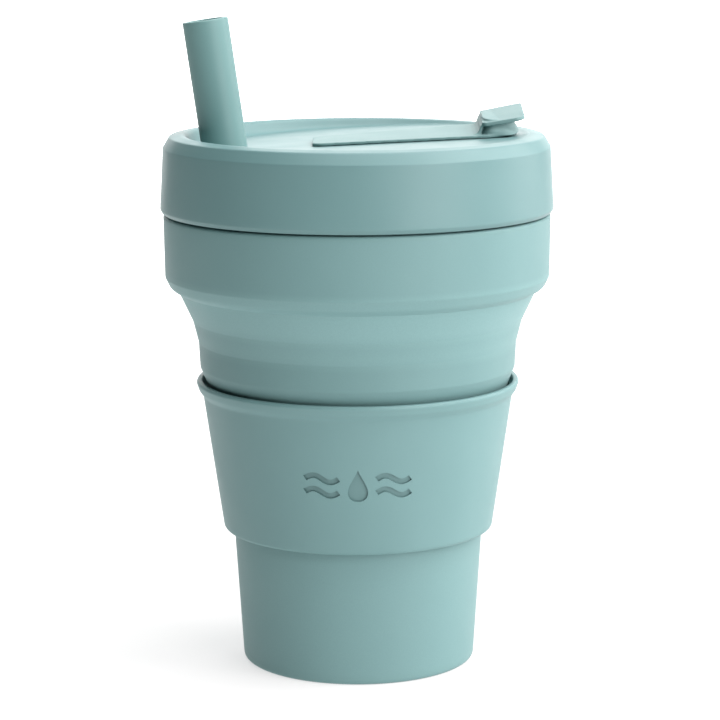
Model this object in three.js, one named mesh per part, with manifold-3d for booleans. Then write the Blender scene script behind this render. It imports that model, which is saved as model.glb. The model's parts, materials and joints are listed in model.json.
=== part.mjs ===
// Collapsible travel cup: a silicone cup that folds flat at two webs, a rigid heat
// sleeve, a press-on lid with a tethered stopper, and a straw leaning in the lid.
// Millimetres, +Z up. The origin is the centre of the foot, on the table.
import * as THREE from 'three';
import { mergeVertices } from 'three/addons/utils/BufferGeometryUtils.js';
import Module from 'manifold-3d';

const wasm = await Module();
wasm.setup();

// ---------------------------------------------------------------- driving sizes
const ROUND = 48;               // facets round the cup; a multiple of four keeps it centred
const SMALL_ROUND = 24;         // facets round the straw, the plug and their holes
const GAP = 0.3;                // clearance between touching pieces
const EDGE = 0.5;               // small rounding of a rigid edge
const SOFT_EDGE = 0.8;          // larger rounding of a silicone edge

const FOOT_RADIUS = 28.6;       // flat foot that stands on the table
const FOOT_HEEL = [29.7, 0.9];  // radius and height of the foot's rounded corner
const BASE_LOW = 3;             // where the foot's rounding meets the wall
const BASE_LOW_RADIUS = 30.2;
const BASE_TOP_RADIUS = 32.0;   // lower cup, where it enters the sleeve
const BASE_STRAIGHT = 32.3;     // the wall is upright above this height
const BASE_TOP = 37;            // top of the thick lower cup
const BASE_WALL = 2.0;
const BASE_FLOOR = 2.8;
const BASE_COVE = 2.4;          // rounding between the floor and the wall inside

const RING_BOTTOM = 54;         // thick silicone ring that carries the sleeve
const RING_TOP = 77.1;
const RING_TOP_RADIUS = 40.45;
const RING_RISE = 2.6;          // the ring stays close to the sleeve for this much of its flare
const RING_WALL = 2.3;

const COLLAR_BOTTOM = 96.9;     // thick upper collar
const COLLAR_LIP_RADIUS = 45.9; // where the upper web leaves the collar
const COLLAR_LOW = 100.3;       // top of the collar's rounded lower corner
const COLLAR_LOW_RADIUS = 49.1;
const COLLAR_CORNER = 1.2;
const COLLAR_RADIUS = 49.35;
const COLLAR_SHOULDER = 116.4;  // the lid's skirt ends just above this shoulder
const COLLAR_NECK_RADIUS = 47.3;
const COLLAR_INNER_RADIUS = 45.0;
const COLLAR_INNER_LOW = 100.9; // bottom of the collar's upright inner wall
const COLLAR_TOP = 133.6;

const WEB_WALL = 1.3;           // thin silicone of the two folding webs
const WEB_BEND_1 = [42.2, 89.2]; // radius and height of the two soft bends in the upper web
const WEB_BEND_2 = [40.8, 83.6];

const SLEEVE_BOTTOM = 34.8;
const SLEEVE_LOW = 36.5;        // top of the sleeve's rounded bottom corner
const SLEEVE_LOW_RADIUS = 34.95;
const SLEEVE_CORNER = 1.4;
const SLEEVE_FLARE = 69.9;      // where the straight wall turns out into the rim
const SLEEVE_FLARE_RADIUS = 39.85;
const SLEEVE_FLARE_RISE = 1.5;
const SLEEVE_RIM_RADIUS = 41.5;
const SLEEVE_TOP = 73.7;
const SLEEVE_WALL = 1.5;
const SLEEVE_TAPER = (SLEEVE_FLARE_RADIUS - SLEEVE_LOW_RADIUS) / (SLEEVE_FLARE - SLEEVE_LOW);
const SLEEVE_LIP_RADIUS = BASE_TOP_RADIUS + 1.1; // inturned lip, loose round the lower cup

const LID_BOTTOM = 116.85;
const LID_LIP_RADIUS = 50.1;
const LID_SHOULDER_RADIUS = 49.25;
const LID_SHOULDER = 133.4;     // bottom of the chamfer round the lid's top
const LID_CHAMFER = 1.7;
const LID_CREST_RADIUS = 43.6;  // inner edge of the rim's level top
const LID_CREST_WIDTH = 1.8;
const LID_CREST = 136.6;
const LID_BORE_RADIUS = COLLAR_NECK_RADIUS + 0.4;
const LID_FLOOR = 134.4;        // height of the recessed floor on the cup's axis
const LID_FLOOR_RADIUS = 42.8;
const LID_FLOOR_WALL = 1.8;
const LID_RAMP = 0.045;         // the floor climbs towards the drinking side (+X)
const LID_RAMP_ANGLE = Math.atan(LID_RAMP);
const SEAL_OUTER_RADIUS = COLLAR_INNER_RADIUS - 0.4;
const SEAL_WALL = 1.6;
const SEAL_BOTTOM = 126;

const STRAW_RADIUS = 5.8;
const STRAW_BORE = 4.35;
const STRAW_LEAN = THREE.MathUtils.degToRad(8);
const STRAW_AT_LID = -34.1;     // X of the straw's axis at the height of the lid's crest
const STRAW_BOTTOM = 5;
const STRAW_TOP = 165.3;

const PLUG_X = 36.2;            // drinking hole and its plug
const PLUG_RADIUS = 4.1;
const PLUG_FLANGE_RADIUS = 5.0;
const PLUG_DEPTH = 5.2;         // how far the plug hangs below the top of the strap
const NECK_RADIUS = 4.3;        // waisted neck between the strap and the pull tab
const NECK_HEIGHT = 1.9;

const STRAP_LEFT = -11.2;
const STRAP_RIGHT = 41.0;
const STRAP_HALF_WIDTH = 9;
const STRAP_THICKNESS = 1.0;
const STRAP_CORNER = 2.5;
const STRAP_END_CORNER = 7.5;
const STRAP_CUT_CORNER = 0.2;   // corners where the strap is divided at its bend
const STRAP_BEND = -1;          // X of the line where the strap bends
const KNUCKLE_RADIUS = 0.45;    // rounded end of the moving part, on the bend line
const ANCHOR_X = -5;            // post that holds the strap's fixed end in the lid
const ANCHOR_RADIUS = 2.2;
const ANCHOR_HEAD_RADIUS = 3.6;
const ANCHOR_HEAD = 1.0;

const TAB_X = 37.0;             // middle of the pull tab
const TAB_LENGTH = 10.4;
const TAB_WIDTH = 12.4;
const TAB_THICKNESS = 0.9;
const TAB_CORNER = 2;
const TAB_HEIGHT = 2.5;         // middle of the tab's underside, above the top of the strap
const TAB_FOOT = 1.4;           // how far the tab's foot reaches down into the neck
const TAB_PITCH = THREE.MathUtils.degToRad(11);
const TAB_ROLL = THREE.MathUtils.degToRad(9);

// ---------------------------------------------------------------- shape helpers
/** Turns a [radius, height] outline about the cup's axis. */
function revolve(profile, facets = ROUND) {
  const points = profile.map(([radius, height]) => new THREE.Vector2(radius, height));
  const geometry = new THREE.LatheGeometry(points, facets);
  return geometry.rotateX(Math.PI / 2);
}

/** Closes a ring's outline by ending it on its first point. */
function ring(profile, facets = ROUND) {
  return revolve([...profile, profile[0]], facets);
}

/** Merges a geometry's shared vertices and hands it to the boolean library. */
function toManifold(geometry) {
  const bare = geometry.clone();
  bare.deleteAttribute('normal');
  bare.deleteAttribute('uv');
  const welded = mergeVertices(bare, 1e-4);
  const index = welded.index.array;
  const triangles = [];
  for (let i = 0; i < index.length; i += 3) {
    const [a, b, c] = [index[i], index[i + 1], index[i + 2]];
    if (a !== b && b !== c && a !== c) triangles.push(a, b, c);
  }
  return new wasm.Manifold(new wasm.Mesh({
    numProp: 3,
    vertProperties: new Float32Array(welded.attributes.position.array),
    triVerts: new Uint32Array(triangles),
  }));
}

/** Turns a boolean result back into a geometry. */
function toGeometry(manifold) {
  const mesh = manifold.getMesh();
  const geometry = new THREE.BufferGeometry();
  geometry.setAttribute('position', new THREE.BufferAttribute(mesh.vertProperties, 3));
  geometry.setIndex(new THREE.BufferAttribute(mesh.triVerts, 1));
  geometry.computeVertexNormals();
  return geometry;
}

/** Cuts every tool out of a body. */
function cut(body, tools) {
  const remainder = tools.reduce((solid, tool) => solid.subtract(toManifold(tool)), toManifold(body));
  return toGeometry(remainder);
}

/** Joins overlapping bodies into one. */
function join(bodies) {
  const whole = bodies.map(toManifold).reduce((solid, next) => solid.add(next));
  return toGeometry(whole);
}

/** A named sub-part with a material of its own. */
function subPart(name, geometry, look) {
  const material = new THREE.MeshStandardMaterial({ ...look, metalness: 0 });
  const mesh = new THREE.Mesh(geometry, material);
  mesh.name = name;
  return mesh;
}

/** Height of the lid's sloping floor at x. */
function lidFloorAt(x) {
  return LID_FLOOR + LID_RAMP * x;
}

/** Radius of the sleeve's inner wall at a height on its straight part. */
function sleeveBoreAt(height) {
  return SLEEVE_LOW_RADIUS - SLEEVE_WALL + SLEEVE_TAPER * (height - SLEEVE_LOW);
}

/** Outline of a slab with four rounded corners, lying in X and Y. */
function roundedSlab(left, right, halfWidth, leftCorner, rightCorner) {
  const shape = new THREE.Shape();
  shape.moveTo(left + leftCorner, -halfWidth);
  shape.lineTo(right - rightCorner, -halfWidth);
  shape.absarc(right - rightCorner, -halfWidth + rightCorner, rightCorner, -Math.PI / 2, 0);
  shape.absarc(right - rightCorner, halfWidth - rightCorner, rightCorner, 0, Math.PI / 2);
  shape.lineTo(left + leftCorner, halfWidth);
  shape.absarc(left + leftCorner, halfWidth - leftCorner, leftCorner, Math.PI / 2, Math.PI);
  shape.absarc(left + leftCorner, -halfWidth + leftCorner, leftCorner, Math.PI, Math.PI * 1.5);
  return shape;
}

/** Extrudes an outline upwards from z = 0. */
function slab(shape, thickness) {
  return new THREE.ExtrudeGeometry(shape, { depth: thickness, bevelEnabled: false, curveSegments: 6 });
}

/** Solid post from one height to another, standing at x. */
function post(x, radius, low, high) {
  return revolve([[0, low], [radius, low], [radius, high], [0, high]], SMALL_ROUND).translate(x, 0, 0);
}

// ---------------------------------------------------------------- silicone cup
/** Thick lower cup with its floor, up to the lower folding web. */
function cupBase() {
  const innerTop = BASE_TOP_RADIUS - BASE_WALL;
  const innerLow = BASE_LOW_RADIUS - BASE_WALL;
  return revolve([
    [0, 0],
    [FOOT_RADIUS, 0],
    FOOT_HEEL,
    [BASE_LOW_RADIUS, BASE_LOW],
    [BASE_TOP_RADIUS, BASE_STRAIGHT],
    [BASE_TOP_RADIUS, BASE_TOP],
    [innerTop, BASE_TOP],
    [innerLow, BASE_FLOOR + BASE_COVE],
    [innerLow - BASE_COVE, BASE_FLOOR],
    [0, BASE_FLOOR],
  ]);
}

/** Thin web between the lower cup and the ring inside the sleeve. */
function lowerFoldWeb() {
  const highRadius = sleeveBoreAt(RING_BOTTOM) - GAP;
  return ring([
    [BASE_TOP_RADIUS, BASE_TOP + GAP],
    [highRadius, RING_BOTTOM - GAP],
    [highRadius - WEB_WALL, RING_BOTTOM - GAP],
    [BASE_TOP_RADIUS - WEB_WALL, BASE_TOP + GAP],
  ]);
}

/** Thick ring that sits in the sleeve and flares out above its rim. */
function middleRing() {
  const boreLow = sleeveBoreAt(RING_BOTTOM) - GAP;
  const boreHigh = sleeveBoreAt(SLEEVE_FLARE) - GAP;
  return ring([
    [boreLow, RING_BOTTOM],
    [boreHigh, SLEEVE_FLARE],
    [boreHigh + EDGE, SLEEVE_FLARE + RING_RISE],
    [RING_TOP_RADIUS - SOFT_EDGE, RING_TOP - 2 * SOFT_EDGE],
    [RING_TOP_RADIUS, RING_TOP],
    [RING_TOP_RADIUS - RING_WALL, RING_TOP],
    [boreHigh - RING_WALL, SLEEVE_FLARE],
    [boreLow - RING_WALL, RING_BOTTOM],
  ]);
}

/** Thin stepped web between the ring and the collar. */
function upperFoldWeb() {
  const low = [RING_TOP_RADIUS, RING_TOP + GAP];
  const high = [COLLAR_LIP_RADIUS, COLLAR_BOTTOM - GAP];
  const outer = [low, WEB_BEND_2, WEB_BEND_1, high];
  const inner = outer.map(([radius, height]) => [radius - WEB_WALL, height]).reverse();
  return ring([...outer, ...inner]);
}

/** Thick collar, stepped in at the top to fit under the lid's skirt. */
function cupCollar() {
  return ring([
    [COLLAR_LIP_RADIUS, COLLAR_BOTTOM],
    [COLLAR_LOW_RADIUS - SOFT_EDGE, COLLAR_BOTTOM + COLLAR_CORNER],
    [COLLAR_LOW_RADIUS, COLLAR_LOW],
    [COLLAR_RADIUS, COLLAR_SHOULDER - SOFT_EDGE],
    [COLLAR_RADIUS - SOFT_EDGE, COLLAR_SHOULDER],
    [COLLAR_NECK_RADIUS, COLLAR_SHOULDER],
    [COLLAR_NECK_RADIUS, COLLAR_TOP - SOFT_EDGE],
    [COLLAR_NECK_RADIUS - SOFT_EDGE, COLLAR_TOP],
    [COLLAR_INNER_RADIUS + EDGE, COLLAR_TOP],
    [COLLAR_INNER_RADIUS, COLLAR_TOP - SOFT_EDGE],
    [COLLAR_INNER_RADIUS, COLLAR_INNER_LOW],
    [COLLAR_LIP_RADIUS - WEB_WALL, COLLAR_BOTTOM],
  ]);
}

// ---------------------------------------------------------------- heat sleeve
/** Rigid tapered sleeve with a flared rim and an inturned bottom lip. */
function heatSleeve() {
  return ring([
    [SLEEVE_LIP_RADIUS, SLEEVE_BOTTOM],
    [SLEEVE_LOW_RADIUS - SLEEVE_CORNER, SLEEVE_BOTTOM],
    [SLEEVE_LOW_RADIUS - GAP, SLEEVE_BOTTOM + EDGE],
    [SLEEVE_LOW_RADIUS, SLEEVE_LOW],
    [SLEEVE_FLARE_RADIUS, SLEEVE_FLARE],
    [SLEEVE_RIM_RADIUS - EDGE, SLEEVE_FLARE + SLEEVE_FLARE_RISE],
    [SLEEVE_RIM_RADIUS, SLEEVE_TOP - EDGE],
    [SLEEVE_RIM_RADIUS - EDGE, SLEEVE_TOP],
    [SLEEVE_RIM_RADIUS - SLEEVE_WALL, SLEEVE_TOP],
    [sleeveBoreAt(SLEEVE_FLARE), SLEEVE_FLARE + GAP],
    [sleeveBoreAt(SLEEVE_LOW), SLEEVE_LOW],
    [SLEEVE_LIP_RADIUS, SLEEVE_LOW],
  ]);
}

// ---------------------------------------------------------------- lid
/** A piece modelled upright about the straw's axis, leaned and placed in the lid. */
function onStrawAxis(geometry) {
  return geometry.rotateY(-STRAW_LEAN).translate(STRAW_AT_LID, 0, LID_CREST);
}

/** Gives the lid's level floor its slope, by moving the floor's own points. */
function slopeFloor(shell, levels) {
  const heights = new Set(levels.map((height) => Math.fround(height)));
  const position = shell.attributes.position;
  for (let i = 0; i < position.count; i += 1) {
    const onFloor = Math.hypot(position.getX(i), position.getY(i)) < LID_FLOOR_RADIUS + GAP;
    if (onFloor && heights.has(position.getZ(i))) {
      position.setZ(i, position.getZ(i) + LID_RAMP * position.getX(i));
    }
  }
  return shell;
}

/** Lid: skirt, seal ring, rounded rim and a recessed floor that climbs towards +X. */
function lid() {
  const underside = LID_FLOOR - LID_FLOOR_WALL;
  const pocket = COLLAR_TOP + EDGE;
  const shell = revolve([
    [0, underside],
    [LID_FLOOR_RADIUS - EDGE, underside],
    [SEAL_OUTER_RADIUS - SEAL_WALL, SEAL_BOTTOM],
    [SEAL_OUTER_RADIUS - EDGE, SEAL_BOTTOM],
    [SEAL_OUTER_RADIUS, SEAL_BOTTOM + 2 * EDGE],
    [SEAL_OUTER_RADIUS, pocket],
    [LID_BORE_RADIUS, pocket],
    [LID_BORE_RADIUS, LID_BOTTOM],
    [LID_LIP_RADIUS - EDGE, LID_BOTTOM],
    [LID_LIP_RADIUS, LID_BOTTOM + EDGE],
    [LID_SHOULDER_RADIUS, LID_SHOULDER],
    [LID_SHOULDER_RADIUS - LID_CHAMFER, LID_CREST - EDGE],
    [LID_CREST_RADIUS + LID_CREST_WIDTH, LID_CREST],
    [LID_CREST_RADIUS, LID_CREST],
    [LID_FLOOR_RADIUS, LID_FLOOR],
    [0, LID_FLOOR],
  ]);
  const reach = LID_CREST - SEAL_BOTTOM;
  const strawHole = onStrawAxis(post(0, STRAW_RADIUS + GAP, -reach, reach));
  const sipHole = post(PLUG_X, PLUG_RADIUS + GAP, SEAL_BOTTOM, LID_CREST);
  const anchorHole = post(ANCHOR_X, ANCHOR_RADIUS + GAP, SEAL_BOTTOM, LID_CREST);
  return cut(slopeFloor(shell, [underside, LID_FLOOR]), [strawHole, sipHole, anchorHole]);
}

// ---------------------------------------------------------------- straw
/** Plain round straw, cut square at both ends. */
function straw() {
  const low = (STRAW_BOTTOM - LID_CREST) / Math.cos(STRAW_LEAN);
  const high = (STRAW_TOP - LID_CREST) / Math.cos(STRAW_LEAN);
  const tube = ring([
    [STRAW_RADIUS, low],
    [STRAW_RADIUS, high],
    [STRAW_BORE, high],
    [STRAW_BORE, low],
  ], SMALL_ROUND);
  return onStrawAxis(tube);
}

// ---------------------------------------------------------------- stopper
/** A strip of the strap between two X, laid on the lid's sloping floor with a small gap. */
function strapStrip(left, right, leftCorner, rightCorner) {
  const shape = roundedSlab(left, right, STRAP_HALF_WIDTH, leftCorner, rightCorner);
  return slab(shape, STRAP_THICKNESS).rotateY(-LID_RAMP_ANGLE).translate(0, 0, LID_FLOOR + GAP);
}

/** Fixed end of the strap, with the post and head that hold it in the lid. */
function stopperAnchor() {
  const right = STRAP_BEND - STRAP_THICKNESS / 2 - GAP;
  const middle = lidFloorAt(ANCHOR_X) + GAP + STRAP_THICKNESS / 2;
  const headTop = lidFloorAt(ANCHOR_X) - LID_FLOOR_WALL - EDGE;
  const shank = post(ANCHOR_X, ANCHOR_RADIUS, headTop - ANCHOR_HEAD / 2, middle);
  const head = post(ANCHOR_X, ANCHOR_HEAD_RADIUS, headTop - ANCHOR_HEAD, headTop);
  return join([strapStrip(STRAP_LEFT, right, STRAP_CORNER, STRAP_CUT_CORNER), shank, head]);
}

/** Pull tab with a short tilted foot under it, standing on the neck. */
function pullTab(height) {
  const half = TAB_LENGTH / 2;
  const plate = slab(roundedSlab(-half, half, TAB_WIDTH / 2, TAB_CORNER, TAB_CORNER), TAB_THICKNESS);
  const foot = post(PLUG_X - TAB_X, NECK_RADIUS, -TAB_FOOT, TAB_THICKNESS / 2);
  return [plate, foot].map((piece) => piece
    .rotateX(TAB_ROLL)
    .rotateY(-TAB_PITCH)
    .translate(TAB_X, 0, height));
}

/** Moving part of the strap: knuckle, plug under it, and neck and pull tab above it. */
function stopperFlap() {
  const top = lidFloorAt(PLUG_X) + GAP + STRAP_THICKNESS;
  const knuckleHeight = lidFloorAt(STRAP_BEND) + GAP + STRAP_THICKNESS / 2;
  const knuckleEnd = STRAP_HALF_WIDTH - STRAP_CUT_CORNER;
  const knuckle = post(0, KNUCKLE_RADIUS, -knuckleEnd, knuckleEnd)
    .rotateX(Math.PI / 2)
    .translate(STRAP_BEND, 0, knuckleHeight);
  const plug = revolve([
    [0, top - PLUG_DEPTH],
    [PLUG_RADIUS - SOFT_EDGE, top - PLUG_DEPTH],
    [PLUG_RADIUS, top - PLUG_DEPTH + SOFT_EDGE],
    [PLUG_RADIUS, top - GAP],
    [PLUG_FLANGE_RADIUS, top - GAP],
    [PLUG_FLANGE_RADIUS, top],
    [NECK_RADIUS, top + SOFT_EDGE],
    [NECK_RADIUS, top + NECK_HEIGHT],
    [0, top + NECK_HEIGHT],
  ], SMALL_ROUND).translate(PLUG_X, 0, 0);
  const strip = strapStrip(STRAP_BEND, STRAP_RIGHT, STRAP_CUT_CORNER, STRAP_END_CORNER);
  return join([strip, knuckle, plug, ...pullTab(top + TAB_HEIGHT)]);
}

// ---------------------------------------------------------------- assembly
const SILICONE = { color: 0x86adab, roughness: 0.6 };
const THIN_SILICONE = { color: 0x8fb3b1, roughness: 0.6 };
const SMOOTH_SILICONE = { color: 0x8ab0ae, roughness: 0.55 };
const POLYPROPYLENE = { color: 0x8ab0ae, roughness: 0.45 };

const pieces = [
  ['cup_base', cupBase(), SILICONE],
  ['lower_fold_web', lowerFoldWeb(), THIN_SILICONE],
  ['middle_ring', middleRing(), SILICONE],
  ['upper_fold_web', upperFoldWeb(), THIN_SILICONE],
  ['cup_collar', cupCollar(), SILICONE],
  ['heat_sleeve', heatSleeve(), POLYPROPYLENE],
  ['lid', lid(), POLYPROPYLENE],
  ['stopper_anchor', stopperAnchor(), SMOOTH_SILICONE],
  ['stopper_flap', stopperFlap(), SMOOTH_SILICONE],
  ['straw', straw(), SMOOTH_SILICONE],
];

const cup = new THREE.Group();
for (const [name, geometry, look] of pieces) {
  cup.add(subPart(name, geometry, look));
}

export default cup;
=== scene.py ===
"""Collapsible travel cup: silicone cup, heat sleeve, lid, stopper and straw.

Outlines are in millimetres, as (radius, height, corner radius), and are turned about
the cup's axis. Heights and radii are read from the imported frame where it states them.
"""
import json
import math

import bmesh
import bpy
import numpy as np
from mathutils import Euler, Matrix, Vector


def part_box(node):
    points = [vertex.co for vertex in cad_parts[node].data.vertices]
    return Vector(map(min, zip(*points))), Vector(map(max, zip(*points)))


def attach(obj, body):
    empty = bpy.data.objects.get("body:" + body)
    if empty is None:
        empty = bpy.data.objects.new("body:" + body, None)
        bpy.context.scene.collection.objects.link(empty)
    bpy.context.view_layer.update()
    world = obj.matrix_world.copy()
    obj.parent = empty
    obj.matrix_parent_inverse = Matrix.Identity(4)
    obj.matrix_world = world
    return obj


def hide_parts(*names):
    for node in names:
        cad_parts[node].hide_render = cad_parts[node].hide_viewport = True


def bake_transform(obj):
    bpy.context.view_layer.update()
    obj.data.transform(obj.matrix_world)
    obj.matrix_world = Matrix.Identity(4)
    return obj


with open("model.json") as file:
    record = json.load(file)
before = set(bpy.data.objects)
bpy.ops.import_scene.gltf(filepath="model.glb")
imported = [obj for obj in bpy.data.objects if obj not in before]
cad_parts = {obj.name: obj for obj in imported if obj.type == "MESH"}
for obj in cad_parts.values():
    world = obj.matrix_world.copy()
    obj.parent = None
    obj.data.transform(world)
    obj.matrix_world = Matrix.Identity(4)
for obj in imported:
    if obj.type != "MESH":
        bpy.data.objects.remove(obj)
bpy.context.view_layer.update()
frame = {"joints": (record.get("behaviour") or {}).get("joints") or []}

MM = 0.001
AROUND = 256          # facets round the cup
STEP = 1.6            # longest straight step along an outline, mm
SAME_PLACE = 1e-7     # points closer than this are one point, m
ON_AXIS = 1e-6        # an outline's point nearer the axis than this is on it, mm
SHARP_ANGLE = 35      # edges that turn more than this stay sharp, degrees
SLIDING_GAP = 0.3     # clearance between pieces that slide on each other, mm


def in_mm(node):
    """(lowest, highest) corner of a CAD node, in millimetres."""
    low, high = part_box(node)
    return low / MM, high / MM


# ---------------------------------------------------------------- sizes from the frame
BASE_HIGH = in_mm("cup_base")[1]
RING_LOW, RING_HIGH = in_mm("middle_ring")
COLLAR_LOW, COLLAR_HIGH = in_mm("cup_collar")
SLEEVE_LOW, SLEEVE_HIGH = in_mm("heat_sleeve")
LID_LOW, LID_HIGH = in_mm("lid")
STRAW_LOW, STRAW_HIGH = in_mm("straw")
ANCHOR_LEFT = in_mm("stopper_anchor")[0].x
JOINTS = {joint["name"]: joint for joint in frame["joints"]}

BASE_RADIUS = BASE_HIGH.x
RING_RADIUS = RING_HIGH.x
COLLAR_RADIUS = COLLAR_HIGH.x
SLEEVE_RADIUS = SLEEVE_HIGH.x
LID_RADIUS = LID_HIGH.x

BASE_WALL, WEB_WALL, RING_WALL, SLEEVE_WALL = 2.0, 1.3, 2.3, 1.5
LID_FLOOR_WALL = 1.8
RAMP = 0.045                          # slope of the lid's floor towards +X
CREST = LID_HIGH.z
FLOOR_DEPTH = 2.2                     # floor below the crest, on the axis
FLOOR = CREST - FLOOR_DEPTH

STRAW_AXIS = Vector(JOINTS["straw_slide"]["axis"]).normalized()
STRAW_LEAN = math.atan2(-STRAW_AXIS.x, STRAW_AXIS.z)
STRAW_RADIUS, STRAW_BORE, STRAW_EDGE = 5.8, 4.35, 0.35
PLUG_X, POST_X = 36.2, -5             # places along the stopper's strap
STRAW_HOLE, DRINKING_HOLE, POST_HOLE = 6.1, 4.4, 2.5     # radii in the lid


# ---------------------------------------------------------------- mesh helpers
def fillet(before, corner, after, radius, steps=6, longest_share=0.49):
    """Points of an arc that rounds a corner, using at most a share of each side."""
    corner, before, after = (np.array(p[:2], float) for p in (corner, before, after))
    to_before, to_after = before - corner, after - corner
    length_before, length_after = np.linalg.norm(to_before), np.linalg.norm(to_after)
    to_before, to_after = to_before / length_before, to_after / length_after
    half = math.acos(np.clip(to_before @ to_after, -1, 1)) / 2
    longest = min(length_before, length_after) * longest_share
    setback = min(radius / math.tan(half), longest)
    radius = setback * math.tan(half)
    bisector = to_before + to_after
    centre = corner + bisector / np.linalg.norm(bisector) * radius / math.sin(half)
    start, end = corner + to_before * setback - centre, corner + to_after * setback - centre
    sweep = math.pi - 2 * half
    turn = math.copysign(sweep, start[0] * end[1] - start[1] * end[0])
    points = []
    for i in range(steps + 1):
        angle = turn * i / steps
        c, s = math.cos(angle), math.sin(angle)
        arm = np.array([c * start[0] - s * start[1], s * start[0] + c * start[1]])
        points.append(centre + arm)
    return points


def outline(corners, closed):
    """Rounds an outline's corners and divides its long straights."""
    rounded = []
    count = len(corners)
    for i, corner in enumerate(corners):
        radius = corner[2] if len(corner) > 2 else 0
        at_end = not closed and i in (0, count - 1)
        if radius and not at_end:
            rounded += fillet(corners[i - 1], corner, corners[(i + 1) % count], radius)
        else:
            rounded.append(np.array(corner[:2], float))
    points = []
    following = rounded[1:] + ([rounded[0]] if closed else [])
    for here, there in zip(rounded, following):
        pieces = max(1, math.ceil(np.linalg.norm(there - here) / STEP))
        points += [here + (there - here) * k / pieces for k in range(pieces)]
    if not closed:
        points.append(rounded[-1])
    return points


def new_object(name, vertices, faces):
    """A smooth-shaded object from millimetre vertices."""
    mesh = bpy.data.meshes.new(name)
    mesh.from_pydata([Vector(v) * MM for v in vertices], [], faces)
    mesh.validate()
    piece = bpy.data.objects.new(name, mesh)
    bpy.context.scene.collection.objects.link(piece)
    smooth(piece)
    return piece


def smooth(piece):
    """Smooth shading, but for the sharp edges."""
    piece.data.shade_smooth()
    piece.data.set_sharp_from_angle(angle=math.radians(SHARP_ANGLE))


def turn_outline(name, corners, closed, around=AROUND):
    """Turns an outline about Z. An open outline starts and ends on the axis."""
    points = outline(corners, closed)
    vertices, rows = [], []
    for radius, height in points:
        if radius < ON_AXIS:
            rows.append([len(vertices)] * around)
            vertices.append((0, 0, height))
            continue
        rows.append(list(range(len(vertices), len(vertices) + around)))
        for k in range(around):
            angle = 2 * math.pi * k / around
            vertices.append((radius * math.cos(angle), radius * math.sin(angle), height))
    faces = []
    pairs = list(zip(rows, rows[1:] + ([rows[0]] if closed else [])))
    for low, high in pairs:
        for k in range(around):
            n = (k + 1) % around
            face = list(dict.fromkeys([low[k], low[n], high[n], high[k]]))
            if len(face) > 2:
                faces.append(face)
    return new_object(name, vertices, faces)


def apply_modifiers(piece):
    """Replaces a piece's mesh by its evaluated mesh."""
    graph = bpy.context.evaluated_depsgraph_get()
    mesh = bpy.data.meshes.new_from_object(piece.evaluated_get(graph))
    piece.modifiers.clear()
    piece.data = mesh
    return piece


def boolean(piece, tool, operation="DIFFERENCE"):
    """Cuts or joins a tool into a piece and removes the tool."""
    modifier = piece.modifiers.new("boolean", "BOOLEAN")
    modifier.operation = operation
    modifier.object = tool
    modifier.solver = "EXACT"
    bpy.context.view_layer.update()
    apply_modifiers(piece)
    bpy.data.objects.remove(tool)
    return piece


def weld(piece):
    """Merges the points that a cut left in the same place, so the mesh stays closed."""
    mesh = bmesh.new()
    mesh.from_mesh(piece.data)
    bmesh.ops.remove_doubles(mesh, verts=mesh.verts, dist=SAME_PLACE)
    bmesh.ops.dissolve_degenerate(mesh, edges=mesh.edges, dist=SAME_PLACE)
    mesh.to_mesh(piece.data)
    mesh.free()


def place(piece, location_mm=(0, 0, 0), rotation=(0, 0, 0)):
    """Turns and moves a piece's mesh, keeping its object at the origin."""
    shift = Matrix.Translation(Vector(location_mm) * MM)
    piece.data.transform(shift @ Euler(rotation).to_matrix().to_4x4())
    return piece


# ---------------------------------------------------------------- materials
class Nodes:
    """A short way to write a material's node tree."""

    def __init__(self, name):
        self.material = bpy.data.materials.new(name)
        self.material.use_nodes = True
        self.tree = self.material.node_tree
        self.shader = self.tree.nodes["Principled BSDF"]
        self.coordinates = self.add("ShaderNodeTexCoord").outputs["Object"]

    def add(self, kind, **values):
        node = self.tree.nodes.new(kind)
        for key, value in values.items():
            setattr(node, key, value)
        return node

    def link(self, source, target):
        self.tree.links.new(source, target)

    def noise(self, size_mm, detail=2.0, roughness=0.5):
        """Noise whose largest features are about size_mm across."""
        node = self.add("ShaderNodeTexNoise")
        self.link(self.coordinates, node.inputs["Vector"])
        node.inputs["Scale"].default_value = 1 / (size_mm * MM)
        node.inputs["Detail"].default_value = detail
        node.inputs["Roughness"].default_value = roughness
        return node.outputs["Fac"]

    def spread(self, source, low, high, start=0.3, end=0.7):
        """Maps a value from one range onto another and holds it at both ends."""
        node = self.add("ShaderNodeMapRange")
        self.link(source, node.inputs["Value"])
        node.inputs["From Min"].default_value = start
        node.inputs["From Max"].default_value = end
        node.inputs["To Min"].default_value = low
        node.inputs["To Max"].default_value = high
        return node.outputs["Result"]

    def mix(self, factor, first, second):
        """Mixes two colours by a factor."""
        node = self.add("ShaderNodeMix", data_type="RGBA")
        self.link(factor, node.inputs["Factor"])
        for socket, colour in ((node.inputs[6], first), (node.inputs[7], second)):
            if isinstance(colour, tuple):
                socket.default_value = (*colour, 1)
            else:
                self.link(colour, socket)
        return node.outputs[2]

    def bump(self, height, distance_mm, strength, normal=None):
        """A bump of the given depth, on top of another one."""
        node = self.add("ShaderNodeBump")
        self.link(height, node.inputs["Height"])
        node.inputs["Distance"].default_value = distance_mm * MM
        node.inputs["Strength"].default_value = strength
        if normal is not None:
            self.link(normal, node.inputs["Normal"])
        return node.outputs["Normal"]


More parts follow.
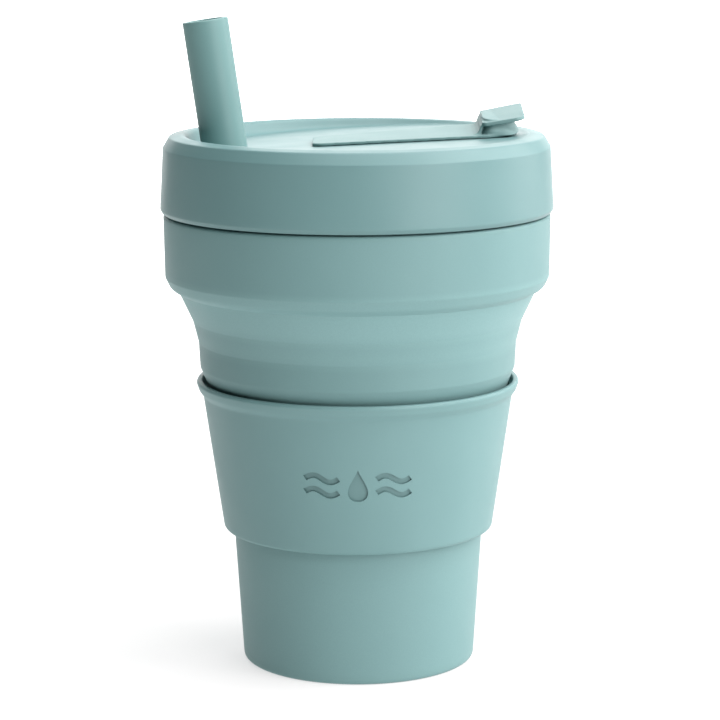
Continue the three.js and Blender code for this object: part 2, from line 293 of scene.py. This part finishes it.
CLOUD_MM, WAVE_MM, GLOSS_MM = 22, 14, 9     # sizes of the surface's slow variations
WAVE_DEPTH, WAVE_STRENGTH, GRAIN_STRENGTH = 0.05, 0.25, 0.5
GLOSS_SPREAD = 0.03
FINE_ROUGHNESS = 0.6
PORE_START, PORE_END, PORE_SHARE, PORE_SHADE = 0.35, 0.65, 0.22, 0.88
# Painted shade: a recess floor's colour is darkened by this factor. Painted light: a colour is
# raised by this gain and glow where light is painted in.
PAINTED_SHADE_FACTOR = 0.8
PAINTED_LIGHT_GAIN, PAINTED_LIGHT_GLOW = 1.24, 0.015
MOULDED_IOR, SHEEN_ROUGHNESS = 1.45, 0.45


def moulded(name, tint, shade, roughness, grain_mm, grain_depth, sheen):
    """A moulded surface: faint cloudiness, a fine grain and a slightly uneven gloss.

    Where the mesh's tone attribute is above 0, the colour is painted lighter for light: light
    through a thin wall, and light from the floor on the lower cup.
    At -1 it is painted darker, for shade on the floor of a recess."""
    nodes = Nodes(name)
    shader = nodes.shader
    cloud = nodes.spread(nodes.noise(CLOUD_MM, 3), 0, 1)
    fine = nodes.noise(grain_mm, 3, FINE_ROUGHNESS)
    tone = nodes.add("ShaderNodeAttribute", attribute_name="tone").outputs["Fac"]
    # Painted light and painted shade go into the base colour here: lighter where the tone is
    # above 0, darker where it is below 0.
    painted_light_tint = tuple(min(1, c * PAINTED_LIGHT_GAIN + PAINTED_LIGHT_GLOW) for c in tint)
    painted_recess_shade = tuple(c * PAINTED_SHADE_FACTOR for c in shade)
    clouded = nodes.mix(nodes.spread(tone, 0, 1, 0, 1), nodes.mix(cloud, tint, shade), painted_light_tint)
    clouded = nodes.mix(nodes.spread(tone, 0, 1, 0, -1), clouded, painted_recess_shade)
    pores = nodes.spread(fine, 0, PORE_SHARE, PORE_START, PORE_END)
    darker = tuple(c * PORE_SHADE for c in shade)
    nodes.link(nodes.mix(pores, clouded, darker), shader.inputs["Base Color"])
    glossiest, dullest = roughness - GLOSS_SPREAD, roughness + GLOSS_SPREAD
    gloss = nodes.spread(nodes.noise(GLOSS_MM, 2), glossiest, dullest)
    nodes.link(gloss, shader.inputs["Roughness"])
    waves = nodes.bump(nodes.noise(WAVE_MM, 1), WAVE_DEPTH, WAVE_STRENGTH)
    grain = nodes.bump(fine, grain_depth, GRAIN_STRENGTH, waves)
    nodes.link(grain, shader.inputs["Normal"])
    shader.inputs["IOR"].default_value = MOULDED_IOR
    shader.inputs["Sheen Weight"].default_value = sheen
    shader.inputs["Sheen Roughness"].default_value = SHEEN_ROUGHNESS
    return nodes.material


SILICONE = moulded(
    "silicone", (0.150, 0.280, 0.282), (0.141, 0.267, 0.270),
    roughness=0.56, grain_mm=0.30, grain_depth=0.010, sheen=0.03)
STRAW_SILICONE = moulded(
    "straw_silicone", (0.138, 0.268, 0.264), (0.128, 0.254, 0.252),
    roughness=0.50, grain_mm=0.22, grain_depth=0.008, sheen=0.03)
STOPPER_SILICONE = moulded(
    "stopper_silicone", (0.162, 0.282, 0.280), (0.152, 0.268, 0.268),
    roughness=0.54, grain_mm=0.25, grain_depth=0.008, sheen=0.03)
# Painted light and shade: the sleeve's polypropylene is painted a little lighter and the lid's
# darker, standing in for more light on the lower cup and less on the top.
SLEEVE_PLASTIC = moulded(
    "sleeve_polypropylene", (0.158, 0.294, 0.297), (0.149, 0.282, 0.285),
    roughness=0.50, grain_mm=0.20, grain_depth=0.006, sheen=0.0)
LID_PLASTIC = moulded(
    "lid_polypropylene", (0.132, 0.250, 0.254), (0.125, 0.240, 0.244),
    roughness=0.43, grain_mm=0.20, grain_depth=0.006, sheen=0.0)


def finish_piece(piece, material, slot, *nodes):
    """Gives a piece its material and hides the CAD nodes that it stands for.
    The slot is not used.
    """
    piece.data.materials.clear()
    piece.data.materials.append(material)
    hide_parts(*nodes)
    return piece


def set_tone(piece, tone_at):
    """Stores each vertex's tone, from a function of its place in mm, for the material."""
    tone = piece.data.attributes.new("tone", "FLOAT", "POINT")
    for vertex, value in zip(piece.data.vertices, tone.data):
        value.value = tone_at(vertex.co / MM)


# ---------------------------------------------------------------- silicone cup
SEAM = (RING_LOW.z + RING_HIGH.z) / 2     # the cup's mesh is divided here, inside the sleeve
WALL_FOOT, WALL_TOP = (34.95, 36.5), (39.85, 69.9)     # ends of the sleeve's straight wall
TAPER = (WALL_TOP[0] - WALL_FOOT[0]) / (WALL_TOP[1] - WALL_FOOT[1])


def sleeve_radius(height):
    """Outer radius of the sleeve's straight wall."""
    return WALL_FOOT[0] + TAPER * (height - WALL_FOOT[1])


def ring_radius(height):
    """Outer radius of the silicone ring in the sleeve."""
    return sleeve_radius(height) - SLEEVE_WALL - SLIDING_GAP


ring_foot = ring_radius(RING_LOW.z)
lower_cup = turn_outline("silicone_lower_cup", [
    (0, 0.6),
    (26.5, 0.6, 0.6),
    (27.3, 0, 0.6),
    (29.9, 0, 2.8),
    (30.1, 2.6, 4),
    (BASE_RADIUS, 32.3, 30),
    (BASE_RADIUS, BASE_HIGH.z, 2),
    (ring_foot, RING_LOW.z, 3),
    (ring_radius(SEAM), SEAM),
    (ring_radius(SEAM) - RING_WALL, SEAM),
    (ring_foot - RING_WALL, RING_LOW.z + 1, 2),
    (ring_foot - WEB_WALL - 0.3, RING_LOW.z - 1, 2),
    (BASE_RADIUS - WEB_WALL, BASE_HIGH.z + 1, 2),
    (BASE_RADIUS - BASE_WALL, BASE_HIGH.z - 1, 2),
    (28.2, 5.3, 4),
    (26, 2.8, 3),
    (0, 2.8),
], closed=False)
FOOT_PAINTED_LIGHT, FADE_BELOW_SEAM = 0.3, 4     # painted light: the lower cup is painted lighter for the light from the floor, fading out towards the ring inside the sleeve
fade_heights = (BASE_HIGH.z, SEAM - FADE_BELOW_SEAM)
set_tone(lower_cup, lambda at: float(np.interp(at.z, fade_heights, (FOOT_PAINTED_LIGHT, 0))))
finish_piece(lower_cup, SILICONE, "silicone_cup", "cup_base", "lower_fold_web")
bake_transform(lower_cup)


NECK_STEP = 2.05      # the radius of the neck under the lid is this much less than the collar's
neck_radius = COLLAR_RADIUS - NECK_STEP
upper_cup = turn_outline("silicone_upper_cup", [
    (ring_radius(SEAM), SEAM),
    (ring_radius(WALL_TOP[1]), WALL_TOP[1], 6),
    (38.9, 73.2, 6),
    (RING_RADIUS, RING_HIGH.z, 1.6),
    (40.8, 83.6, 2.2),
    (42.2, 89.2, 2.2),
    (45.7, 96.7, 0.3),
    (46.1, 96.9, 0.3),
    (47.9, 98.0, 2.5),
    (49.1, 100.5, 1.2),
    (COLLAR_RADIUS, 116.4, 0.8),
    (neck_radius, 116.4, 0.3),
    (neck_radius, 128.6, 1),
    (neck_radius + 0.3, 130.4, 1),
    (neck_radius, 132, 1),
    (neck_radius - 0.4, COLLAR_HIGH.z, 0.8),
    (45.0, COLLAR_HIGH.z, 0.8),
    (45.0, 101, 4),
    (43.9, 96.6, 2),
    (40.9, 89.4, 2.2),
    (39.5, 83.8, 2.2),
    (RING_RADIUS - 1.5, RING_HIGH.z + 0.6, 1.6),
    (38.2, 75.6, 2),
    (ring_radius(WALL_TOP[1]) - RING_WALL, 69.5, 4),
    (ring_radius(SEAM) - RING_WALL, SEAM),
], closed=True)
# Painted light: the thin fold web is painted lighter, band by band, standing in for the light
# that shines through its thin wall and onto its bands.
THIN_HEIGHTS = (82.8, 84.2, 88.2, 90.2, 96.5, 97.0, 100.4, 101.6)
WEB_PAINTED_LIGHT = (0, 0.5, 0.4, 0.9, 0.9, 0.5, 0.45, 0)
set_tone(upper_cup, lambda at: float(np.interp(at.z, THIN_HEIGHTS, WEB_PAINTED_LIGHT)))
finish_piece(upper_cup, SILICONE, "silicone_cup", "middle_ring", "upper_fold_web", "cup_collar")
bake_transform(upper_cup)


# ---------------------------------------------------------------- heat sleeve
def droplet(height, z, steps=56, tip=4):
    """Outline of a falling drop, in the XZ plane, without the crowded points at its tip."""
    angles = [0] + [2 * math.pi * k / steps for k in range(tip, steps - tip + 1)]
    half_width, taper = 0.44 * height, 1.6
    return [
        (half_width * math.sin(t) * math.sin(t / 2) ** taper, z + 0.5 * height * math.cos(t))
        for t in angles
    ]


def ripple(x, z, length, height, stroke, steps=40):
    """Outline of a wavy stroke, in the XZ plane."""
    upper, lower = [], []
    for k in range(steps + 1):
        phase = 2 * math.pi * k / steps
        middle = np.array([x + length * (k / steps - 0.5), z + height / 2 * math.sin(phase)])
        along = np.array([length, math.pi * height * math.cos(phase)])
        side = np.array([-along[1], along[0]]) / np.linalg.norm(along) * stroke / 2
        upper.append(middle + side)
        lower.append(middle - side)
    return [tuple(p) for p in lower + upper[::-1]]


def mark_cutter(shapes, depth, near=-60, far=-20, low=40, high=66):
    """Prisms through the sleeve's front wall that cut only depth into it."""
    vertices, faces = [], []
    for shape in shapes:
        first, count = len(vertices), len(shape)
        vertices += [(x, near, z) for x, z in shape] + [(x, far, z) for x, z in shape]
        faces += [[first + k for k in range(count)], [first + count + k for k in range(count)]]
        for k in range(count):
            n = (k + 1) % count
            faces.append([first + k, first + n, first + count + n, first + count + k])
    cutter = new_object("cutter", vertices, faces)
    normals_out(cutter)
    core = turn_outline("core", [
        (0, low),
        (sleeve_radius(low) - depth, low),
        (sleeve_radius(high) - depth, high),
        (0, high),
    ], closed=False)
    return boolean(cutter, core)


def normals_out(piece):
    """Makes a closed mesh's faces point outwards."""
    mesh = bmesh.new()
    mesh.from_mesh(piece.data)
    bmesh.ops.recalc_face_normals(mesh, faces=mesh.faces)
    mesh.to_mesh(piece.data)
    mesh.free()


LIP_CLEARANCE = 0.8     # gap round the lower cup at the sleeve's inturned lip, mm
sleeve_lip = BASE_RADIUS + LIP_CLEARANCE
sleeve = turn_outline("sleeve", [
    (sleeve_lip, SLEEVE_LOW.z, 0.3),
    (34.7, SLEEVE_LOW.z, 1.9),
    (sleeve_radius(37.6), 37.6, 1.5),
    (39.8, 69.7, 2.2),
    (40.9, 71.2, 2.2),
    (SLEEVE_RADIUS, 73.0, 0.9),
    (SLEEVE_RADIUS - 0.35, SLEEVE_HIGH.z, 0.35),
    (SLEEVE_RADIUS - 1.5, SLEEVE_HIGH.z, 0.5),
    (39.6, 71.9, 1.6),
    (sleeve_radius(WALL_TOP[1]) - SLEEVE_WALL, WALL_TOP[1], 2),
    (sleeve_radius(38) - SLEEVE_WALL, 38, 1.2),
    (sleeve_radius(WALL_FOOT[1]) - SLEEVE_WALL - 0.4, 36.3, 0.6),
    (sleeve_lip, 36.3, 0.3),
], closed=True)
MARK_HEIGHT, MARK_DEPTH = 53.13, 0.5
DROPLET_HEIGHT = 8.2
RIPPLE_LENGTH, RIPPLE_HEIGHT, RIPPLE_STROKE = 8.3, 1.7, 1.45
RIPPLE_PLACES = [(x, z) for x in (-8.93, 8.77) for z in (-1.77, 1.73)]
MARK_REACH_X, MARK_REACH_Z = 14, 5      # the mark lies within these of its centre
FLOOR_DEPTHS = (0.3, 1.4)               # shares of the depth that count as its floor


def painted_mark_shade(at):
    """-1 on the floor of the debossed mark, where shade is painted in as a darker colour."""
    depth = sleeve_radius(at.z) - math.hypot(at.x, at.y)
    in_reach = abs(at.x) < MARK_REACH_X and abs(at.z - MARK_HEIGHT) < MARK_REACH_Z
    on_floor = FLOOR_DEPTHS[0] < depth / MARK_DEPTH < FLOOR_DEPTHS[1]
    return -1 if at.y < 0 and in_reach and on_floor else 0


mark = [droplet(DROPLET_HEIGHT, MARK_HEIGHT)]
mark += [
    ripple(x, MARK_HEIGHT + z, RIPPLE_LENGTH, RIPPLE_HEIGHT, RIPPLE_STROKE)
    for x, z in RIPPLE_PLACES
]
boolean(sleeve, mark_cutter(mark, MARK_DEPTH))
weld(sleeve)
set_tone(sleeve, painted_mark_shade)
smooth(sleeve)
finish_piece(sleeve, SLEEVE_PLASTIC, "sleeve_plastic", "heat_sleeve")
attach(sleeve, "sleeve")


# ---------------------------------------------------------------- lid
RECESS_REACH = 43.9     # the recess lies within this radius
TILT_FADE = 4           # below the floor the tilt fades out over this height
UNDERSIDE_SLACK = 0.1   # points this little below the underside still count as on it


def tilt_floor(piece):
    """Deepens the lid's recess towards -X and makes it shallow towards +X."""
    low = FLOOR * MM
    top = CREST * MM
    underside = low - LID_FLOOR_WALL * MM
    for vertex in piece.data.vertices:
        radius = math.hypot(vertex.co.x, vertex.co.y)
        if radius > RECESS_REACH * MM:
            continue
        share = min(1, max(0, (top - vertex.co.z) / (top - low)))
        if vertex.co.z < underside - UNDERSIDE_SLACK * MM:
            share = max(0, 1 - (underside - vertex.co.z) / (TILT_FADE * MM))
        vertex.co.z += RAMP * vertex.co.x * share


def hole_cutter(x, radius, lean, reach=8):
    """A leaning cylinder through the lid's floor."""
    corners = [(0, -reach), (radius, -reach), (radius, reach), (0, reach)]
    tool = turn_outline("hole", corners, closed=False, around=96)
    return place(tool, (x, 0, FLOOR + RAMP * x - LID_FLOOR_WALL / 2), (0, -lean, 0))


seal_radius, seal_low, ceiling = 44.6, 126, 134.1
LID_GAP = 0.4
bore_radius = neck_radius + LID_GAP
lid = turn_outline("lid_shell", [
    (0, FLOOR - LID_FLOOR_WALL),
    (42.1, FLOOR - LID_FLOOR_WALL, 0.8),
    (43.0, seal_low, 0.5),
    (seal_radius - 0.2, seal_low, 0.7),
    (seal_radius, ceiling, 0.4),
    (bore_radius, ceiling, 0.4),
    (bore_radius, LID_LOW.z, 0.3),
    (49.45, LID_LOW.z, 0.3),
    (LID_RADIUS, LID_LOW.z + 1.0, 0.8),
    (49.25, 133.35, 0.7),
    (47.6, CREST - 0.45, 0.8),
    (45.2, CREST, 3),
    (43.6, CREST, 1.5),
    (42.0, FLOOR, 2.2),
    (0, FLOOR),
], closed=False)
tilt_floor(lid)
STRAW_AT_CREST = -34.1     # X of the straw's axis at the height of the lid's crest
HOLE_DROP = 3              # leaves the hole's middle about 0.2 mm left of the straw's axis
straw_hole_x = STRAW_AT_CREST + math.tan(STRAW_LEAN) * HOLE_DROP
boolean(lid, hole_cutter(straw_hole_x, STRAW_HOLE, STRAW_LEAN))
boolean(lid, hole_cutter(PLUG_X, DRINKING_HOLE, 0))
boolean(lid, hole_cutter(POST_X, POST_HOLE, 0))
weld(lid)
smooth(lid)
finish_piece(lid, LID_PLASTIC, "lid_plastic", "lid")
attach(lid, "lid")


# ---------------------------------------------------------------- straw
end_rise = STRAW_RADIUS * math.sin(STRAW_LEAN)     # how far the cut ends rise as it leans
straw_length = (STRAW_HIGH.z - STRAW_LOW.z - 2 * end_rise) / math.cos(STRAW_LEAN)
straw_base_z = STRAW_LOW.z + end_rise
straw_base_x = STRAW_HIGH.x - STRAW_RADIUS * math.cos(STRAW_LEAN)
straw = turn_outline("straw_tube", [
    (STRAW_RADIUS, 0, STRAW_EDGE),
    (STRAW_RADIUS, straw_length, STRAW_EDGE),
    (STRAW_BORE, straw_length, STRAW_EDGE),
    (STRAW_BORE, 0, STRAW_EDGE),
], closed=True, around=128)
place(straw, (straw_base_x, 0, straw_base_z), (0, -STRAW_LEAN, 0))
finish_piece(straw, STRAW_SILICONE, "silicone_straw", "straw")
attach(straw, "straw")


# ---------------------------------------------------------------- stopper
def slab(name, left, right, half_width, thickness, corners):
    """A flat plate on z = 0. Its corner radii go near-left, near-right, far-right, far-left."""
    tips = [
        (left, -half_width, 180), (right, -half_width, 270),
        (right, half_width, 0), (left, half_width, 90),
    ]
    steps = 12
    shape = []
    for (x, y, start), radius in zip(tips, corners):
        cx = x + radius if x == left else x - radius
        cy = y + radius if y < 0 else y - radius
        for k in range(steps + 1):
            angle = math.radians(start + 90 * k / steps)
            shape.append((cx + radius * math.cos(angle), cy + radius * math.sin(angle)))
    count = len(shape)
    vertices = [(x, y, 0) for x, y in shape] + [(x, y, thickness) for x, y in shape]
    faces = [list(range(count))[::-1], list(range(count, 2 * count))]
    faces += [[k, (k + 1) % count, count + (k + 1) % count, count + k] for k in range(count)]
    return new_object(name, vertices, faces)


def ribbon(name, path, half_width, thickness):
    """A band of constant thickness that follows a path in the XZ plane."""
    path = [np.array(p, float) for p in path]
    upper, lower = [], []
    for k, point in enumerate(path):
        ahead, behind = path[min(k + 1, len(path) - 1)], path[max(k - 1, 0)]
        tangent = (ahead - behind) / np.linalg.norm(ahead - behind)
        normal = np.array([-tangent[1], tangent[0]])
        upper.append(point + normal * thickness / 2)
        lower.append(point - normal * thickness / 2)
    shape = lower + upper[::-1]
    count = len(shape)
    vertices = [(x, -half_width, z) for x, z in shape] + [(x, half_width, z) for x, z in shape]
    faces = [list(range(count)), list(range(count, 2 * count))[::-1]]
    faces += [[(k + 1) % count, k, count + k, count + (k + 1) % count] for k in range(count)]
    return new_object(name, vertices, faces)


def fuse(name, parts, voxel_mm, smoothing):
    """Fuses overlapping parts into one soft moulding."""
    whole = parts[0]
    for part in parts[1:]:
        boolean(whole, part, "UNION")
    whole.name = name
    remesh = whole.modifiers.new("remesh", "REMESH")
    remesh.mode = "VOXEL"
    remesh.voxel_size = voxel_mm * MM
    soften = whole.modifiers.new("soften", "SMOOTH")
    soften.factor = 0.5
    soften.iterations = smoothing
    bpy.context.view_layer.update()
    apply_modifiers(whole)
    whole.data.shade_smooth()
    return whole


def loft(name, sections, steps=56, squareness=3):
    """A closed form through oval sections: height, half length, half width, centre in X."""
    vertices = []
    for height, half_length, half_width, centre in sections:
        for k in range(steps):
            angle = 2 * math.pi * k / steps
            c, n = math.cos(angle), math.sin(angle)
            reach = (abs(c) ** squareness + abs(n) ** squareness) ** (-1 / squareness)
            x, y = centre + half_length * c * reach, half_width * n * reach
            vertices.append((x, y, height))
    faces = [list(range(steps))[::-1], list(range(len(vertices) - steps, len(vertices)))]
    for row in range(len(sections) - 1):
        low, high = row * steps, (row + 1) * steps
        for k in range(steps):
            n = (k + 1) % steps
            faces.append([low + k, low + n, high + n, high + k])
    return new_object(name, vertices, faces)


STRAP_HALF_WIDTH, STRAP_WALL = 9, 0.7
TWIST_AT_MIDDLE, TWIST_SLOPE = 0.45, 0.034     # lift of the strap's far edge, against x
STILL_BELOW, FREE_OVER = -0.5, 0.3             # heights off the lid's floor, mm


def twist(piece):
    """Lifts the strap's far edge off the lid, more and more towards the plug."""
    for vertex in piece.data.vertices:
        x, y, z = vertex.co / MM
        above_floor = z - (FLOOR + RAMP * x)
        share = min(1, max(0, (above_floor - STILL_BELOW) / (FREE_OVER - STILL_BELOW)))
        lift = max(0, TWIST_AT_MIDDLE + TWIST_SLOPE * x)
        across = (y + STRAP_HALF_WIDTH) / (2 * STRAP_HALF_WIDTH)
        vertex.co.z += lift * across * share * MM


TAB_ROLL, TAB_PITCH = math.radians(1.2), math.radians(8.9)
TAB_X, TAB_HEIGHT = 36.9, 2.75
STRAP_TOP = FLOOR + RAMP * PLUG_X + 0.9     # about the strap's upper face at the plug
STRAP_LIFT, STRAP_RIGHT = 0.15, 41.0
strap_corners = (2.5, 7.5, 7.5, 2.5)
strap = slab("strap", ANCHOR_LEFT, STRAP_RIGHT, STRAP_HALF_WIDTH, STRAP_WALL, strap_corners)
place(strap, (0, 0, FLOOR + STRAP_LIFT), (0, -math.atan(RAMP), 0))
plug = turn_outline("plug", [
    (0, STRAP_TOP - 4.8),
    (3.4, STRAP_TOP - 4.8, 0.6),
    (4.1, STRAP_TOP - 3.8, 0.6),
    (4.1, STRAP_TOP - 0.3),
    (0, STRAP_TOP - 0.3),
], closed=False, around=64)
place(plug, (PLUG_X, 0, 0))
neck = loft("neck", [
    (STRAP_TOP - 0.4, 5.0, 8.95, 35.9),
    (STRAP_TOP + 0.5, 4.8, 8.75, 35.8),
    (STRAP_TOP + 1.4, 4.3, 8.2, 35.6),
    (STRAP_TOP + 2.3, 4.2, 7.7, 35.7),
    (STRAP_TOP + 3.4, 4.6, 7.6, 36.2),
])
tab_corners = (1.2, 2.6, 0.4, 1.0)
tab = slab("tab", -5.4, 5.5, half_width=8.5, thickness=0.95, corners=tab_corners)
place(tab, (0, 0, 0), (TAB_ROLL, 0, 0))
place(tab, (TAB_X, 0, STRAP_TOP + TAB_HEIGHT), (0, -TAB_PITCH, 0))
curl_foot, curl_top = STRAP_TOP - 0.55, STRAP_TOP + TAB_HEIGHT - 0.45
curl = ribbon("curl", [
    (28.0, curl_foot - 0.2),
    (29.3, curl_foot - 0.12),
    (30.4, curl_foot + 0.25),
    (31.1, curl_foot + 1.1),
    (31.35, curl_top - 0.7),
    (31.75, curl_top - 0.1),
    (32.6, curl_top + 0.15),
    (34.0, curl_top + 0.4),
], half_width=7.6, thickness=0.72)
anchor_post = turn_outline("anchor_post", [
    (0, 131.2),
    (3.0, 131.2, 0.3),
    (3.6, 131.7, 0.3),
    (2.6, 132.2, 0.2),
    (2.2, 132.4, 0.2),
    (2.2, 134.9),
    (0, 134.9),
], closed=False, around=64)
place(anchor_post, (POST_X, 0, 0))
soft_parts = [strap, plug, neck, tab, curl, anchor_post]
stopper = fuse("stopper_strap", soft_parts, voxel_mm=0.18, smoothing=2)
twist(stopper)
finish_piece(stopper, STOPPER_SILICONE, "silicone_stopper", "stopper_anchor", "stopper_flap")
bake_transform(stopper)


# ---------------------------------------------------------------- floor, light and camera
FLOOR_RADIUS, FLOOR_FACETS = 1.1, 96
FLOOR_ALBEDO, FLOOR_GLOW_NEAR, FLOOR_GLOW_FAR = 0.36, 0.6, 1.0
BACKDROP_ALBEDO, BACKDROP_GLOW = 0.3, 2.0
GLOW_START, GLOW_END = 0.12, 0.6     # the glow changes between these distances, m
BACKDROP_Y, BACKDROP_HALF, BACKDROP_TOP = 1.0, 0.6, 1.0
FIBRE_MM, FIBRE_LIGHTER, PAPER_ROUGHNESS = 60, 0.02, 0.9


def glowing_paper(name, albedo, glow_near, glow_far):
    """White paper whose own glow changes from near the cup to far from it."""
    nodes = Nodes(name)
    fibres = nodes.spread(nodes.noise(FIBRE_MM, 2), 0, 1)
    paper = nodes.mix(fibres, (albedo,) * 3, (albedo + FIBRE_LIGHTER,) * 3)
    nodes.link(paper, nodes.shader.inputs["Base Color"])
    nodes.shader.inputs["Roughness"].default_value = PAPER_ROUGHNESS
    nodes.shader.inputs["Specular IOR Level"].default_value = 0
    distance = nodes.add("ShaderNodeVectorMath", operation="LENGTH")
    nodes.link(nodes.coordinates, distance.inputs[0])
    glow = nodes.spread(distance.outputs["Value"], glow_near, glow_far, GLOW_START, GLOW_END)
    nodes.shader.inputs["Emission Color"].default_value = (1, 1, 1, 1)
    nodes.link(glow, nodes.shader.inputs["Emission Strength"])
    return nodes.material


def studio_floor():
    """A white floor and a white backdrop behind the cup."""
    turns = np.linspace(0, 2 * math.pi, FLOOR_FACETS, endpoint=False)
    edge = FLOOR_RADIUS / MM
    rim = [(edge * math.cos(t), edge * math.sin(t), 0) for t in turns]
    floor = new_object("studio_floor", rim, [list(range(FLOOR_FACETS))])
    white = glowing_paper("studio_white", FLOOR_ALBEDO, FLOOR_GLOW_NEAR, FLOOR_GLOW_FAR)
    floor.data.materials.append(white)
    half, top, back = BACKDROP_HALF / MM, BACKDROP_TOP / MM, BACKDROP_Y / MM
    corners = [(-half, back, 1), (half, back, 1), (half, back, top), (-half, back, top)]
    wall = new_object("studio_backdrop", corners, [[0, 1, 2, 3]])
    wall.data.materials.append(
        glowing_paper("backdrop_white", BACKDROP_ALBEDO, BACKDROP_GLOW, BACKDROP_GLOW))


WARM, NEUTRAL = (1.0, 0.95, 0.945), (1, 1, 1)
# name, azimuth from the front towards the right, elevation, watts, colour
SOFTBOXES = (
    ("front_right", 45, 20, 11.5, WARM),
    ("right", 110, 20, 9.0, WARM),
    ("back", 180, 20, 1.2, NEUTRAL),
    ("back_left", 225, 20, 0.7, NEUTRAL),
    ("top", 0, 89, 8.0, NEUTRAL),
    ("top_front", 350, 60, 3.5, NEUTRAL),
    ("top_right", 80, 55, 12.0, WARM),
    ("top_back", 170, 55, 3.0, NEUTRAL),
)
SOFTBOX_SIZE, SOFTBOX_DISTANCE = 0.8, 1.2
SOFTBOX_CENTRE = Vector((0, 0, 0.05))
LIT_POINT = Vector((0, 0, 0.08))


def softbox(name, azimuth, elevation, power, colour):
    """A square area light that faces the cup."""
    light = bpy.data.lights.new(name, "AREA")
    light.size = SOFTBOX_SIZE
    light.energy = power
    light.color = colour
    lamp = bpy.data.objects.new(name, light)
    bpy.context.scene.collection.objects.link(lamp)
    az, el = math.radians(azimuth), math.radians(elevation)
    out = Vector((math.cos(el) * math.sin(az), -math.cos(el) * math.cos(az), math.sin(el)))
    lamp.location = out * SOFTBOX_DISTANCE + SOFTBOX_CENTRE
    lamp.rotation_euler = (LIT_POINT - lamp.location).to_track_quat("-Z", "Y").to_euler()


def white_surround():
    """A world that looks white to the camera and lights nothing."""
    world = bpy.data.worlds.new("studio")
    bpy.context.scene.world = world
    world.use_nodes = True
    tree = world.node_tree
    background = tree.nodes["Background"]
    background.inputs["Color"].default_value = (1, 1, 1, 1)
    path = tree.nodes.new("ShaderNodeLightPath")
    tree.links.new(path.outputs["Is Camera Ray"], background.inputs["Strength"])


studio_floor()
for settings in SOFTBOXES:
    softbox(*settings)
white_surround()

SENSOR_MM, LENS_MM, CAMERA_SEES_M = 36, 134.75, 20
CAMERA_AT = (0.00062, -0.684, 0.1996)
CAMERA_PITCH, CAMERA_ROLL = math.radians(10.08), math.radians(0.21)
camera_data = bpy.data.cameras.new("camera")
camera_data.sensor_width = SENSOR_MM
camera_data.lens = LENS_MM
camera_data.clip_end = CAMERA_SEES_M
camera = bpy.data.objects.new("camera", camera_data)
bpy.context.scene.collection.objects.link(camera)
camera.location = CAMERA_AT
aim = Matrix.Rotation(math.pi / 2 - CAMERA_PITCH, 3, "X") @ Matrix.Rotation(-CAMERA_ROLL, 3, "Z")
camera.rotation_euler = aim.to_euler()
bpy.context.scene.camera = camera
bpy.context.scene.view_settings.view_transform = "Standard"
